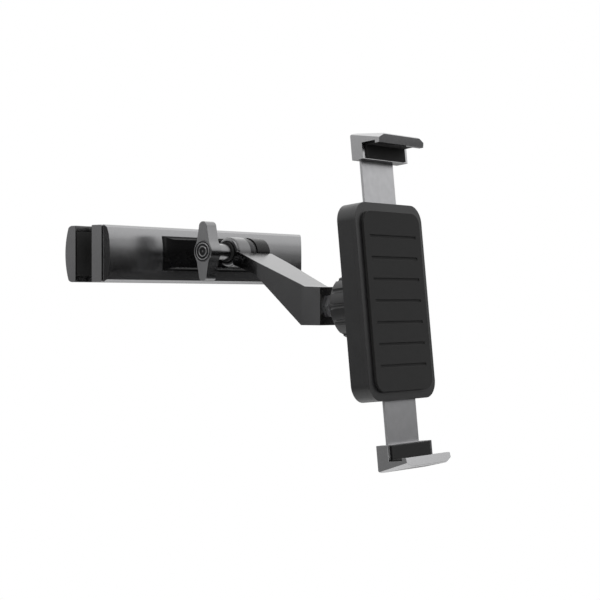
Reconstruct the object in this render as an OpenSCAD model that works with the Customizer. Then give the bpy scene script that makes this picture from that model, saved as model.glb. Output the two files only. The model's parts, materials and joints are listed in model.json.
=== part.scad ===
/* [Bar] */
// Length over both post jaws when they are closed
bar_length = 181; // [172:1:200]
// Height of the bar
bar_height = 32.8; // [32:0.2:38]
// Distance from the plane of the posts to the front face of a post jaw
jaw_front = 15; // [14.4:0.1:17]
// Distance from the plane of the posts to the crown of the arched rear face
rear_crown = 15.5; // [15:0.1:18]
// Radius of the arched rear face
rear_arch_r = 45; // [40:1:80]
// Radius of the long rear edges
edge_r = 4; // [2:0.2:5]
// Radius of the long front edges of a post jaw
front_edge_r = 1; // [0.4:0.1:2]
// Thickness of the front cover at its middle
cover_t = 3.3; // [2.8:0.1:5]
// Crown of the slightly domed front cover
cover_dome = 0.55; // [0.3:0.05:0.9]
// Height of the bevel along the top and bottom of the front cover
bevel_h = 5.2; // [4.6:0.1:5.6]
// Height of the steep outer part of that bevel
bevel_steep_h = 1.4; // [1:0.1:1.8]
// Depth of the gentle inner part of that bevel
bevel_gentle_t = 0.8; // [0.5:0.05:1]
// Length of the bevel at each end of the front cover
bevel_end = 2.3; // [1.5:0.1:4]
// Distance from a jaw's end face to the end of the front cover
cover_inset = 0.7; // [0.4:0.1:2]
// Wall of the rear housing behind its pockets
bar_wall = 2.4; // [2:0.1:3]

/* [Post jaws] */
// Width of the slot that takes a headrest post
slot_w = 13.2; // [12:0.1:14]
// Depth of the slot from the jaw's end face
slot_depth = 16; // [14:0.5:20]
// Thickness of the rubber liner
liner_t = 1.2; // [0.8:0.1:1.6]
// Height of the rubber liner
liner_h = 26; // [22:0.5:28]
// Rim of the jaw that keeps the liner from sliding out of the mouth
mouth_rim = 1; // [0.6:0.1:2]
// Solid web of the jaw behind the liner
jaw_web = 4.8; // [4:0.1:8]
// How far each post jaw slides out
jaw_travel = 20; // [15:1:24]
// Depth of a rack bar from front to back
rack_w = 8; // [6:0.5:8.5]
// Thickness of a rack bar behind its teeth
rack_body = 4.5; // [3.5:0.1:4.7]
// Length of the short guide bar that runs opposite the rack
guide_len = 32; // [26:1:34]

/* [Gearing] */
// Module of the gear teeth
tooth_m = 1; // [0.9:0.02:1]
// Number of teeth on each pinion
pinion_teeth = 14; // [14:1:14]
// Play between meshing teeth
backlash = 0.16; // [0.1:0.02:0.24]

/* [Bar lock] */
// Radius of the lock knob on the rear of the bar
lock_knob_r = 11; // [9:0.5:14]
// Height of the lock knob
lock_knob_h = 9; // [6:0.5:12]
// Number of grip flutes on the lock knob
lock_flutes = 10; // [6:1:12]
// Radius of the plain shank that the bar pinion turns on
lock_shank_r = 3.6; // [3:0.1:4]
// Radius of the threaded end of the lock screw
lock_thread_r = 2.5; // [2:0.1:2.8]

/* [Hinge base] */
// Half width of the base where its flank meets the hinge
base_half_w = 17; // [15:0.5:19]
// Radius of the concave flank on each side
flank_r = 32; // [28:1:36]
// Half height of the base
base_half_h = 8.2; // [7.6:0.05:8.2]
// Height of the middle of the base above the middle of the bar
base_z = 0.95; // [0.2:0.05:1]
// Radius of the fillet above and below the base
base_fillet = 2; // [1:0.1:2]
// Distance from the front of the bar to the hinge axis
hinge_reach = 24.7; // [24:0.1:30]
// Height of the hinge axis above the middle of the bar
hinge_z = 1.9; // [1:0.1:3]
// Radius of the hinge lugs
lug_r = 9; // [8.6:0.1:9.6]
// Rounding around the outer face of the arm's lug
arm_lug_round = 2.4; // [1.6:0.1:2.8]
// Width of each hinge lug
lug_w = 11.4; // [10:0.1:14]
// Thickness of the metal ring beside the arm's lug
ring_t = 3.3; // [2.5:0.1:4]
// Thickness of the friction disc beside the base's lug
disc_t = 2.9; // [2:0.1:4]
// Radius of the hinge bolt
bolt_r = 2.5; // [2:0.1:2.8]
// Height of the hexagonal bolt head
bolt_head_h = 3.6; // [3:0.1:5]
// Distance across the corners of the bolt head
bolt_head_d = 9.2; // [8.5:0.1:11]

/* [Wing knob] */
// Length of the knob from wing tip to wing tip
knob_len = 35.3; // [30:0.1:38]
// Thickness of the wings
knob_t = 8.8; // [7:0.1:11]
// Radius of the knob's hub
hub_r = 7; // [6.8:0.1:7.6]
// Half width of a wing at the hub
wing_root = 4.7; // [4:0.1:5.2]
// Half width of a wing at its tip
wing_tip = 3.2; // [2.6:0.1:3.8]
// Radius of the barrel behind the wings
barrel_r = 4.8; // [4.6:0.1:5.6]
// Length of the barrel behind the wings
barrel_len = 11.4; // [10:0.1:15]
// Radius of the cap on the face of the knob
cap_r = 6.2; // [5:0.1:6.3]
// Thickness of the cap
cap_t = 1.2; // [0.8:0.1:2]
// Thickness of the washer between the knob and the arm
knob_washer_t = 1.2; // [0.8:0.1:2]

/* [Arm] */
// Distance from the hinge axis to the middle of the ball, along the bar's depth
arm_reach = 85.7; // [80:0.5:110]
// Drop from the hinge axis to the middle of the ball
arm_drop = 32.2; // [28:0.2:40]
// Half width of the arm at the ball
arm_end_half_w = 11; // [10:0.1:14]
// Thickness of the arm near the hinge
arm_t = 8.7; // [7:0.1:11]
// Half height of the block that carries the ball stud
block_half_h = 11; // [10:0.2:14]
// Length of the block that carries the ball stud
block_len = 14; // [12:0.5:20]
// Wall of the arm around its lower pockets
arm_wall = 2.6; // [2:0.1:4]

/* [Ball joint] */
// Radius of the ball
ball_r = 8.5; // [8:0.1:9]
// Radius of the stud's neck
neck_r = 4; // [3:0.1:4.2]
// Distance from the middle of the ball to the arm
neck_len = 18; // [18:0.1:22]
// Wall of the seat around the ball
seat_t = 1.5; // [1.2:0.1:2]
// Radius of the socket's outer wall
socket_r = 14; // [13.4:0.1:15]
// Radius of the grip on the collar nut
collar_r = 18; // [17:0.1:19]
// Number of grip flutes on the collar nut
collar_flutes = 12; // [8:1:16]

/* [Cradle] */
// Backward lean of the cradle from upright
cradle_lean = 5.94; // [0:0.01:12]
// Distance from the middle of the ball to the cradle's rear face
cradle_setback = 15; // [15:0.1:18]
// Width of the cradle
cradle_w = 64; // [60:1:80]
// Height of the cradle
cradle_h = 110; // [108:1:112]
// Radius of the cradle's corners
cradle_corner_r = 10; // [4:0.5:14]
// Rear and side walls of the cradle
cradle_wall = 2.2; // [1.8:0.1:2.6]
// Thickness of the front plate
plate_t = 2.7; // [2.2:0.1:4]
// Thickness of the grip pad on the front plate
pad_t = 1.8; // [1:0.1:3]
// Width of the sliding rails
rail_w = 30; // [28:0.5:32]
// Thickness of each sliding rail
rail_t = 1.5; // [1.2:0.1:1.6]
// How far each gripping jaw slides in from the shown opening
grip_in = 22; // [15:1:22]
// How far each gripping jaw slides out from the shown opening
grip_out = 20; // [15:1:22]
// Radius of the springs in the cradle
spring_r = 3; // [2.4:0.1:3]
// Radius of the pin that the cradle pinion turns on
pinion_pin_r = 2.4; // [2:0.1:3]

/* [Gripping jaws] */
// Distance between the two jaw pads
grip_opening = 174.1; // [172:0.1:190]
// Thickness of the device that the jaws hold
device_t = 7.5; // [6:0.1:12]
// Width of a jaw
hook_w = 43; // [40:0.5:60]
// Thickness of the lip in front of the device
lip_t = 3.5; // [2.5:0.1:5]
// How much thinner the lip is at its free edge
lip_taper = 0.8; // [0:0.1:1.2]
// How far the lip reaches over the device
lip_over = 0.7; // [0.5:0.1:4]
// Thickness of a jaw beyond the pad
hook_t = 5.9; // [4.5:0.1:8]
// How much lower the jaw is at its lip than at its back
lip_drop = 2.1; // [1:0.1:3]
// Height of the jaw behind the device
hook_back_h = 8; // [6:0.1:8.4]
// Width of the slanted cut at each outer corner of the lip
corner_cut_w = 5.6; // [3:0.1:9]
// Height of the slanted cut at each outer corner of the lip
corner_cut_h = 2.7; // [1.5:0.1:3]
// Angle at which the cut rises towards the back of the jaw
corner_cut_rise = 12.7; // [8:0.1:16]
// Thickness of the jaw pads
hook_pad_t = 0.9; // [0.6:0.1:1.2]

/* [Fits] */
// Gap between sliding pieces
slide_gap = 0.3; // [0.2:0.05:0.4]
// Radial clearance of turning fits
turn_gap = 0.05; // [0.02:0.01:0.09]
// Gap between flat faces that turn on each other
face_gap = 0.1; // [0.05:0.05:0.2]
// Clearance of screws in their holes
screw_gap = 0.05; // [0.02:0.01:0.1]
// Radius of the case screws
screw_r = 1.5; // [1.2:0.1:1.6]
// Radius of the case screws' heads
screw_head_r = 2.8; // [2.4:0.1:3]
// Height of the case screws' heads
screw_head_h = 1.8; // [1.2:0.1:2]

/* [Hidden] */
$fn = 64;
fine_fn = 96;
over = 1;
overlap = 0.1;
pressure_angle = 20;

// Bar
bar_half = bar_length / 2;
half_h = bar_height / 2;
cover_back = -(jaw_front + slide_gap);
cover_front = cover_back - cover_t;
cover_edge = cover_front + cover_dome;
flat_half_h = half_h - bevel_h;
cover_dome_r = (flat_half_h * flat_half_h + cover_dome * cover_dome) / (2 * cover_dome);
cover_rim = 0.4;
head_len = slot_depth + liner_t + jaw_web;
housing_half = bar_half - head_len - slide_gap;
edge_lap = 0.2;
rear_arch_drop = rear_arch_r - sqrt(pow(rear_arch_r, 2) - pow(half_h - edge_r, 2));
rear_edge_y = rear_crown - rear_arch_drop - edge_r + edge_lap;
slot_end = bar_half - slot_depth;
slot_centre = slot_end + slot_w / 2;

// Gearing
pitch_r = tooth_m * pinion_teeth / 2;
addendum = 0.8 * tooth_m;
dedendum = 1.05 * tooth_m;
tooth_pitch = PI * tooth_m;
rack_end_teeth = 2 * tooth_pitch;

// Racks inside the bar
rack_offset = 1;
rack_back = rack_w / 2 - rack_offset;
rack_front = rack_back - rack_w;
rack_top = pitch_r + dedendum + rack_body;
cavity_half = rack_top + slide_gap;
bar_screw_x = [28, 56];
boss_r = 4.2;
rib_play = 0.2;
rib_low = pitch_r + dedendum + rib_play;
rib_inset = 2;
pocket_x = [[12, 22], [34, 50]];
pocket_half_h = 6;
bar_head_depth = 3.4;
bar_head_y = rear_crown - bar_head_depth;

// Hexagonal sockets of the screws
key_r = 1.2;
key_floor = 0.8;

// Bar lock
lock_seat = rear_crown + slide_gap;
nut_h = 4;
nut_d = 9;
lock_tip = 7;
nut_boss_r = 7;
nut_face = rack_front - slide_gap;
lock_flute_r = 2;
lock_flute_out = 0.8;
lock_flute_x = lock_knob_r + lock_flute_out;
lock_knob_top = lock_seat + lock_knob_h;
lock_roof = 3;
lock_dish = 1.4;
lock_rim = 4;
lock_chamfer = 1.1;

// Hinge base
base_top = cover_front - hinge_reach + lug_r + over;
hinge_y = cover_front - hinge_reach;
flank_rise = cover_front - base_top;
flank_x = base_half_w + sqrt(pow(flank_r, 2) - pow(flank_r - flank_rise, 2));
base_screw_x = 11;
base_screw_z = 3.4;
base_screw_len = 12;
stack_half = (ring_t + disc_t + 3 * face_gap) / 2;
lug_outer = stack_half + lug_w;
bolt_head_proud = 0.9;
bolt_head_x = lug_outer + bolt_head_proud;
head_seat = bolt_head_x - bolt_head_h;
washer_step = 0.2;
washer_r = lug_r - washer_step;
disc_step = 0.7;
disc_r = lug_r - disc_step;

// Wing knob
knob_back = -(lug_outer + face_gap + knob_washer_t + face_gap);
knob_washer_rim = 1;
knob_washer_r = barrel_r + knob_washer_rim;
wing_back = knob_back - barrel_len;
knob_face = wing_back - knob_t;
insert_wall = 1.1;
bolt_hold = 2.5;
bolt_tip = wing_back - bolt_hold;
wing_root_share = 0.9;
wing_waist_shares = [0.96, 0.28];

// Arm and ball
ball_y = hinge_y - arm_reach;
ball_z = hinge_z - arm_drop;
arm_end = ball_y + neck_len;
arm_slope = atan(arm_drop / arm_reach);
stud_thread = 11;
stud_flange_rim = 3;
stud_flange_r = neck_r + stud_flange_rim;
stud_flange_t = 2.4;
arm_clear = 1.4;
arm_clear_r = lug_r + arm_clear;
arm_straight = 24;
neck_gap = 13;
arm_neck = lug_r + neck_gap;
pocket_gap = 17;
pocket_near = lug_r + pocket_gap;
arm_root_angle = 58;
arm_root_in = 3.6;
arm_root_out = 0.1;
arm_neck_spare = 0.6;
shoulder_run = 2;
shoulder_rise = 0.4;
pocket_near_rise = 2;
pocket_far_rise = 1;
pocket_past = 1;

// Cradle, measured from the middle of the ball, forward is negative
rear_face = -cradle_setback;
rear_inner = rear_face - cradle_wall;
washer_gap = 0.3;
pivot_r = 7;
pivot_washer_r = 10;
pivot_washer_t = 1.2;
pivot_head_h = 1.5;
pivot_head_r = 3.8;
pivot_screw_r = 2;
washer_rear = rear_inner - washer_gap;
washer_front = washer_rear - pivot_washer_t;
head_front = washer_front - pivot_head_h;
head_room = 1;
rail_rear = head_front - head_room;
rail_split = 0.3;
rail_two = rail_rear - rail_t - rail_split;
rail_front = rail_two - rail_t;
plate_rear = rail_front - slide_gap;
plate_front = plate_rear - plate_t;
pad_front = plate_front - pad_t;
pad_margin = 5;
pad_pitch = 12;
pad_groove = 0.6;
pad_groove_w = 1.6;
pad_corner_step = 3;
pad_corner_r = cradle_corner_r - pad_corner_step;
device_play = 0.2;
device_back = pad_front - device_play;
glass = device_back - device_t;
socket_flange_r = 17;
socket_flange_t = 4;
socket_mouth = 4;
lip_mouth_r = 9.6;
collar_lip = 2.3;
slit_w = 1.4;
slit_depth = 2;
screw_inset_x = 7.5;
screw_inset_z = 9.5;
screw_boss_r = 4;
screw_x = cradle_w / 2 - screw_inset_x;
screw_z = cradle_h / 2 - screw_inset_z;
pivot_screw_reach = 5.5;
hook_screw_reach = 4;
blind_room = 0.3;
rib_clear = 0.6;
plate_screw_reach = 1.7;
plate_hole_depth = 1.8;
screw_head_sunk = 0.2;
spring_x = (rail_w / 2 + slide_gap + cradle_w / 2) / 2;
spring_room = 0.6;
spring_y = rear_inner - spring_r - spring_room;
spring_inset = 17;
spring_pin_r = 1.5;
spring_gap = 0.3;
spring_wire = 0.8;
spring_low = -(cradle_h / 2 - spring_inset);
ear_z = 16;
ear_h = 4;
window_spare = 2;
window_low = -(grip_out + pitch_r + window_spare);
window_high = grip_in + pitch_r + window_spare;
rail_tail = 3;
rail_low = window_low - rail_tail;
window_side = 0.9;
teeth_inset = 1;
ear_past = 1.5;

// Gripping jaws
half_grip = grip_opening / 2;
hook_step = 0.2;
hook_back = rail_rear + hook_step;
hook_low = half_grip - hook_back_h;
hook_seat = half_grip + hook_pad_t;
hook_top = hook_seat + hook_t;
rail_past = 0.6;
rail_high = half_grip + rail_past;
lip_play = 0.5;
lip_back = glass - lip_play;
lip_front = lip_back - lip_t;
hook_front_wall = device_back + hook_pad_t;
lip_top = hook_top - lip_drop;
lip_edge = 0.6;
hook_edge = 1;
hook_screw_x = 8;
hook_screw_r = 1.25;
hook_screw_head = 2.2;
hook_head_t = 1;
hook_pad_inset = 3;
hook_pad_low = 0.5;
hook_screw_drop = 3.4;
hook_screw_z = half_grip - hook_screw_drop;

// Solids laid out along one axis
module slab_x(x0, x1) {
    translate([x0, 0, 0]) rotate([90, 0, 90]) linear_extrude(x1 - x0) children();
}

module slab_y(y0, y1) {
    translate([0, y1, 0]) rotate([90, 0, 0]) linear_extrude(y1 - y0) children();
}

module slab_z(z0, z1) {
    translate([0, 0, z0]) linear_extrude(z1 - z0) children();
}

module rod_x(x0, x1, r, y = 0, z = 0, sides = fine_fn) {
    translate([x0, y, z]) rotate([0, 90, 0]) cylinder(h = x1 - x0, r = r, $fn = sides);
}

module rod_y(y0, y1, r, x = 0, z = 0, sides = fine_fn) {
    translate([x, y1, z]) rotate([90, 0, 0]) cylinder(h = y1 - y0, r = r, $fn = sides);
}

// A shape turned about the depth axis, drawn as radius and depth
module turned_y() {
    rotate([-90, 0, 0]) rotate_extrude($fn = fine_fn) children();
}

module box_from(low, high) {
    translate(low) cube(high - low);
}

// The frame that leans back with the cradle, with the middle of the ball as its origin
module in_cradle() {
    translate([0, ball_y, ball_z]) rotate([-cradle_lean, 0, 0]) children();
}

module half_turn_y() {
    rotate([0, 180, 0]) children();
}

module rounded_plate(w, h, r) {
    square([w - 2 * r, h], center = true);
    square([w, h - 2 * r], center = true);
    for (sx = [-1, 1], sz = [-1, 1]) {
        translate([sx * (w / 2 - r), sz * (h / 2 - r)]) circle(r);
    }
}

// Involute tooth outlines
function involute_of(angle) = tan(angle) * 180 / PI - angle;

function flank_angle(r, base_r) =
    90 / pinion_teeth - backlash / 2 / pitch_r * 180 / PI
    + involute_of(pressure_angle) - involute_of(r > base_r ? acos(base_r / r) : 0);

function polar(r, angle) = [r * cos(angle), r * sin(angle)];

module pinion_outline() {
    base_r = pitch_r * cos(pressure_angle);
    root_r = pitch_r - dedendum;
    tip_r = pitch_r + addendum;
    steps = 4;
    radii = concat([root_r], [for (i = [0:steps]) base_r + (tip_r - base_r) * i / steps]);
    count = len(radii);
    polygon([
        for (tooth = [0:pinion_teeth - 1])
            for (i = [0:2 * count - 1])
                let (
                    rising = i < count,
                    r = radii[rising ? i : 2 * count - 1 - i],
                    side = rising ? -1 : 1
                )
                polar(r, (tooth + 0.5) * 360 / pinion_teeth + side * flank_angle(r, base_r))
    ]);
}

// A rack along the first axis with its pitch line at zero and its teeth pointing down
module rack_teeth(from, to) {
    half = tooth_pitch / 4 - backlash / 2;
    lean = tan(pressure_angle);
    for (i = [ceil(from / tooth_pitch):floor(to / tooth_pitch)]) {
        translate([i * tooth_pitch, 0]) polygon([
            [-half - dedendum * lean, dedendum + 0.01],
            [-half + addendum * lean, -addendum],
            [half - addendum * lean, -addendum],
            [half + dedendum * lean, dedendum + 0.01]
        ]);
    }
}

// Cross-section of the bar, drawn as depth and height
module bar_section(front) {
    intersection() {
        translate([rear_crown - rear_arch_r, 0]) circle(rear_arch_r, $fn = 180);
        union() {
            translate([-front + front_edge_r, -half_h]) {
                square([front - front_edge_r + rear_edge_y, bar_height]);
            }
            translate([-front, -half_h + front_edge_r]) square([front, bar_height - 2 * front_edge_r]);
            translate([0, -half_h + edge_r]) square([rear_crown, bar_height - 2 * edge_r]);
            for (side = [-1, 1]) {
                translate([rear_edge_y, side * (half_h - edge_r)]) circle(edge_r);
                translate([-front + front_edge_r, side * (half_h - front_edge_r)]) circle(front_edge_r);
            }
        }
    }
}

// Plan of the open slot in a left jaw, widened all round by extra
module slot_plan(mouth, extra) {
    half = slot_w / 2 + extra;
    translate([-mouth, -half]) square([mouth - slot_centre, 2 * half]);
    translate([-slot_centre, 0]) circle(half, $fn = fine_fn);
}

module post_jaw() {
    difference() {
        slab_x(-bar_half, -bar_half + head_len) bar_section(jaw_front);
        slab_z(-half_h - over, half_h + over) slot_plan(bar_half + over, 0);
        slab_z(-liner_h / 2, liner_h / 2) slot_plan(bar_half - mouth_rim, liner_t);
    }
    slab_y(rack_front, rack_back) {
        translate([0, pitch_r]) rack_teeth(-rack_end_teeth, jaw_travel + rack_end_teeth);
    }
    box_from(
        [-bar_half + head_len - over / 2, rack_front, pitch_r + dedendum],
        [jaw_travel + rack_end_teeth + tooth_pitch / 2, rack_back, rack_top]
    );
    box_from(
        [-bar_half + head_len - over / 2, rack_front, -rack_top],
        [-bar_half + head_len + guide_len, rack_back, -rack_top + rack_body]
    );
}

module post_liner() {
    slab_z(-liner_h / 2, liner_h / 2) difference() {
        slot_plan(bar_half - mouth_rim, liner_t);
        slot_plan(bar_half + over, 0);
    }
}

module left_post_jaw() {
    color("dimgray") post_jaw();
}

module left_post_liner() {
    color("black") post_liner();
}

module right_post_jaw() {
    color("dimgray") half_turn_y() post_jaw();
}

module right_post_liner() {
    color("black") half_turn_y() post_liner();
}

// Domed face with two bevels above and below, drawn as depth and height
module cover_section() {
    intersection() {
        translate([cover_front + cover_dome_r, 0]) circle(cover_dome_r, $fn = 360);
        polygon([
            [cover_back, -half_h],
            [cover_back, half_h],
            [cover_back - cover_rim, half_h],
            [cover_edge + bevel_gentle_t, half_h - bevel_steep_h],
            [cover_edge, flat_half_h],
            [cover_front, flat_half_h],
            [cover_front, -flat_half_h],
            [cover_edge, -flat_half_h],
            [cover_edge + bevel_gentle_t, bevel_steep_h - half_h],
            [cover_back - cover_rim, -half_h]
        ]);
    }
}

module cover_body() {
    end = bar_half - cover_inset;
    intersection() {
        slab_x(-end, end) cover_section();
        slab_z(-half_h, half_h) polygon([
            [-end, cover_back],
            [-end, cover_back - cover_rim],
            [-end + bevel_end, cover_front],
            [end - bevel_end, cover_front],
            [end, cover_back - cover_rim],
            [end, cover_back]
        ]);
    }
}

module at_bar_screws() {
    for (x = bar_screw_x, side = [-1, 1]) translate([side * x, 0, 0]) children();
}

module at_base_screws() {
    for (sx = [-1, 1], sz = [-1, 1]) {
        translate([sx * base_screw_x, 0, base_z + sz * base_screw_z]) children();
    }
}

module front_cover() {
    color("gray") difference() {
        union() {
            cover_body();
            for (side = [-1, 1]) {
                box_from(
                    [-housing_half + rib_inset, cover_back - over, side > 0 ? rib_low : -rack_top],
                    [housing_half - rib_inset, rack_front - slide_gap, side > 0 ? rack_top : -rib_low]
                );
            }
            at_bar_screws() rod_y(cover_back - over, rack_back, boss_r);
            rod_y(cover_back - over, nut_face, nut_boss_r);
        }
        at_bar_screws() rod_y(cover_back, rack_back + over, screw_r + screw_gap);
        at_base_screws() rod_y(cover_front - over, cover_back + over, screw_r + screw_gap);
        rod_y(nut_face - nut_h, rack_front, nut_d / 2, sides = 6);
        rod_y(nut_face - lock_tip - slide_gap, rack_front, lock_thread_r + screw_gap);
    }
}

module rear_housing() {
    color("dimgray") difference() {
        slab_x(-housing_half, housing_half) bar_section(-cover_back);
        box_from(
            [-housing_half - over, cover_back - over, -cavity_half],
            [housing_half + over, rack_back + slide_gap, cavity_half]
        );
        for (turn = [0, 180], ends = pocket_x) rotate([0, turn, 0]) {
            box_from([ends[0], 0, -pocket_half_h], [ends[1], rear_crown - bar_wall, pocket_half_h]);
        }
        at_bar_screws() {
            rod_y(0, rear_crown + over, screw_r + screw_gap);
            rod_y(bar_head_y - screw_head_h, rear_crown + over, screw_head_r + screw_gap);
        }
        rod_y(0, rear_crown + over, lock_shank_r + turn_gap);
    }
}

module bar_screws() {
    color("silver") at_bar_screws() {
        rod_y(cover_back + 1, bar_head_y - screw_head_h + key_floor / 2, screw_r);
        difference() {
            rod_y(bar_head_y - screw_head_h, bar_head_y, screw_head_r);
            rod_y(bar_head_y - screw_head_h + key_floor, bar_head_y + over, key_r, sides = 6);
        }
    }
}

module bar_pinion() {
    color("ivory") difference() {
        slab_y(rack_front, rack_back) rotate(90) pinion_outline();
        rod_y(rack_front - over, rack_back + over, lock_shank_r + turn_gap);
    }
}

module lock_screw() {
    color("silver") {
        rod_y(nut_face + slide_gap / 2, lock_knob_top - lock_roof, lock_shank_r);
        rod_y(nut_face - lock_tip, nut_face + over, lock_thread_r);
    }
}

module lock_nut() {
    color("goldenrod") difference() {
        rod_y(nut_face - nut_h, nut_face, nut_d / 2, sides = 6);
        rod_y(nut_face - nut_h - over, nut_face + over, lock_thread_r + turn_gap);
    }
}

module lock_knob() {
    color("black") difference() {
        union() {
            rod_y(lock_seat, lock_knob_top - lock_chamfer, lock_knob_r);
            rod_y(lock_seat, lock_knob_top, lock_knob_r - lock_chamfer);
        }
        for (i = [0:lock_flutes - 1]) {
            rotate([0, i * 360 / lock_flutes, 0]) {
                rod_y(lock_seat + lock_chamfer, lock_knob_top + over, lock_flute_r, x = lock_flute_x);
            }
        }
        rod_y(lock_seat - over, lock_knob_top - lock_roof, lock_shank_r);
        rod_y(lock_knob_top - lock_dish, lock_knob_top + over, lock_knob_r - lock_rim);
    }
}

// Plan of the base, concave on both sides
module base_plan() {
    difference() {
        translate([-flank_x, base_top]) square([2 * flank_x, cover_back - base_top - over]);
        for (side = [-1, 1]) {
            translate([side * flank_x, cover_front - flank_r]) circle(flank_r, $fn = 180);
        }
    }
}

module base_side() {
    translate([base_top, base_z - base_half_h]) {
        square([cover_back - over - base_top, 2 * base_half_h]);
    }
    difference() {
        translate([cover_front - base_fillet, base_z - base_half_h - base_fillet]) {
            square([base_fillet + over, 2 * (base_half_h + base_fillet)]);
        }
        for (side = [-1, 1]) {
            translate([cover_front - base_fillet, base_z + side * (base_half_h + base_fillet)]) {
                circle(base_fillet);
            }
        }
    }
}

module hinge_base() {
    color([0.13, 0.13, 0.14]) difference() {
        union() {
            intersection() {
                slab_z(-flat_half_h, flat_half_h) base_plan();
                slab_x(-flank_x, flank_x) base_side();
            }
            rod_x(stack_half, lug_outer, lug_r, hinge_y, hinge_z);
            box_from(
                [stack_half, hinge_y, hinge_z - lug_r],
                [lug_outer, base_top + over, base_z + base_half_h]
            );
        }
        cover_body();
        rod_x(stack_half - over, lug_outer + over, bolt_r + turn_gap, hinge_y, hinge_z);
        rod_x(head_seat, lug_outer + over, bolt_head_d / 2 + screw_gap, hinge_y, hinge_z, sides = 6);
        at_base_screws() rod_y(cover_back - base_screw_len - over, cover_back, screw_r + screw_gap);
    }
}

module base_screws() {
    color("silver") at_base_screws() {
        rod_y(cover_back - base_screw_len, cover_back + screw_head_h / 2, screw_r);
        rod_y(cover_back, cover_back + screw_head_h, screw_head_r);
    }
}

module hinge_bolt() {
    color("silver") {
        rod_x(bolt_tip, head_seat + over, bolt_r, hinge_y, hinge_z);
        rod_x(head_seat, bolt_head_x, bolt_head_d / 2, hinge_y, hinge_z, sides = 6);
    }
}

module hinge_washer(x0, x1, r) {
    difference() {
        rod_x(x0, x1, r, hinge_y, hinge_z);
        rod_x(x0 - over, x1 + over, bolt_r + turn_gap, hinge_y, hinge_z);
    }
}

module friction_disc() {
    color("black") hinge_washer(stack_half - face_gap - disc_t, stack_half - face_gap, disc_r);
}

module hinge_ring() {
    color("silver") hinge_washer(-stack_half + face_gap, -stack_half + face_gap + ring_t, washer_r);
}

module knob_washer() {
    color("black") hinge_washer(-lug_outer - face_gap - knob_washer_t, -lug_outer - face_gap, knob_washer_r);
}

// Two rounded wings on a round hub, drawn as depth and height from the hinge axis
module wing_outline() {
    tip = knob_len / 2 - wing_tip;
    waist_y = hub_r * wing_waist_shares[0];
    waist_z = hub_r * wing_waist_shares[1];
    circle(hub_r, $fn = fine_fn);
    for (side = [-1, 1]) {
        translate([0, side * tip]) circle(wing_tip);
        polygon([
            [-wing_tip, side * tip],
            [-wing_root, side * hub_r * wing_root_share],
            [-waist_y, side * waist_z],
            [waist_y, side * waist_z],
            [wing_root, side * hub_r * wing_root_share],
            [wing_tip, side * tip]
        ]);
    }
}

module wing_knob() {
    color("dimgray") difference() {
        union() {
            translate([0, hinge_y, hinge_z]) slab_x(knob_face, wing_back) wing_outline();
            rod_x(wing_back - over, knob_back, barrel_r, hinge_y, hinge_z);
        }
        rod_x(knob_face - over, knob_face + cap_t, cap_r, hinge_y, hinge_z);
        rod_x(bolt_tip - over, knob_back + over, bolt_r + insert_wall, hinge_y, hinge_z);
    }
}

module knob_insert() {
    color("goldenrod") difference() {
        rod_x(bolt_tip + over, knob_back, bolt_r + insert_wall, hinge_y, hinge_z);
        rod_x(bolt_tip, knob_back + over, bolt_r + turn_gap, hinge_y, hinge_z);
    }
}

module knob_cap() {
    groove = 0.3;
    groove_w = 0.5;
    ring_shares = [0.82, 0.5];
    color("gray") difference() {
        rod_x(knob_face, knob_face + cap_t, cap_r, hinge_y, hinge_z);
        for (r = cap_r * ring_shares) {
            difference() {
                rod_x(knob_face - over, knob_face + groove, r, hinge_y, hinge_z);
                rod_x(knob_face - 2 * over, knob_face + 2 * groove, r - groove_w, hinge_y, hinge_z);
            }
        }
    }
}

// Side view of the arm, measured from the hinge axis
module arm_side() {
    half = arm_t / 2 / cos(arm_slope);
    drop = tan(arm_slope);
    end = arm_end - hinge_y;
    mid = -arm_drop;
    shoulder = -(arm_drop - block_half_h) / drop;
    polygon([
        [-arm_root_in, 0],
        [-lug_r - arm_root_out, 0],
        [max(end + shoulder_run, shoulder), mid + block_half_h + shoulder_rise],
        [end, mid + block_half_h],
        [end, mid - block_half_h],
        [end + block_len, mid - block_half_h],
        [-arm_neck, -arm_neck * drop - half - arm_neck_spare],
        [-lug_r * cos(arm_root_angle), -lug_r * sin(arm_root_angle)]
    ]);
}

module arm_plan() {
    end = arm_end;
    polygon([
        [-lug_outer, hinge_y + lug_r + over],
        [-lug_outer, hinge_y - arm_straight],
        [-arm_end_half_w, end + block_len],
        [-arm_end_half_w, end],
        [arm_end_half_w, end],
        [arm_end_half_w, end + block_len],
        [lug_outer, hinge_y - arm_straight],
        [lug_outer, hinge_y + lug_r + over]
    ]);
}

// Hollow under the arm, open at the bottom, measured from the hinge axis
module arm_pocket_side() {
    drop = tan(arm_slope);
    far = arm_end - hinge_y + block_len + pocket_past;
    polygon([
        [-pocket_near, -pocket_near * drop - arm_wall + pocket_near_rise],
        [far, far * drop - arm_wall + pocket_far_rise],
        [far, -arm_drop - block_half_h - over],
        [-pocket_near, -arm_drop - block_half_h - over]
    ]);
}

// Round lug whose outer edge is rounded off in three steps
module arm_lug() {
    for (step = [0:2]) {
        near = arm_lug_round * (1 - cos(step * 30));
        far = arm_lug_round * (1 - cos(step * 30 + 30));
        translate([near - lug_outer, hinge_y, hinge_z]) rotate([0, 90, 0]) {
            cylinder(
                h = far - near,
                r1 = lug_r - arm_lug_round * (1 - sin(step * 30)),
                r2 = lug_r - arm_lug_round * (1 - sin(step * 30 + 30)),
                $fn = fine_fn
            );
        }
    }
    rod_x(arm_lug_round - lug_outer, -stack_half, lug_r, hinge_y, hinge_z);
}

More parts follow.
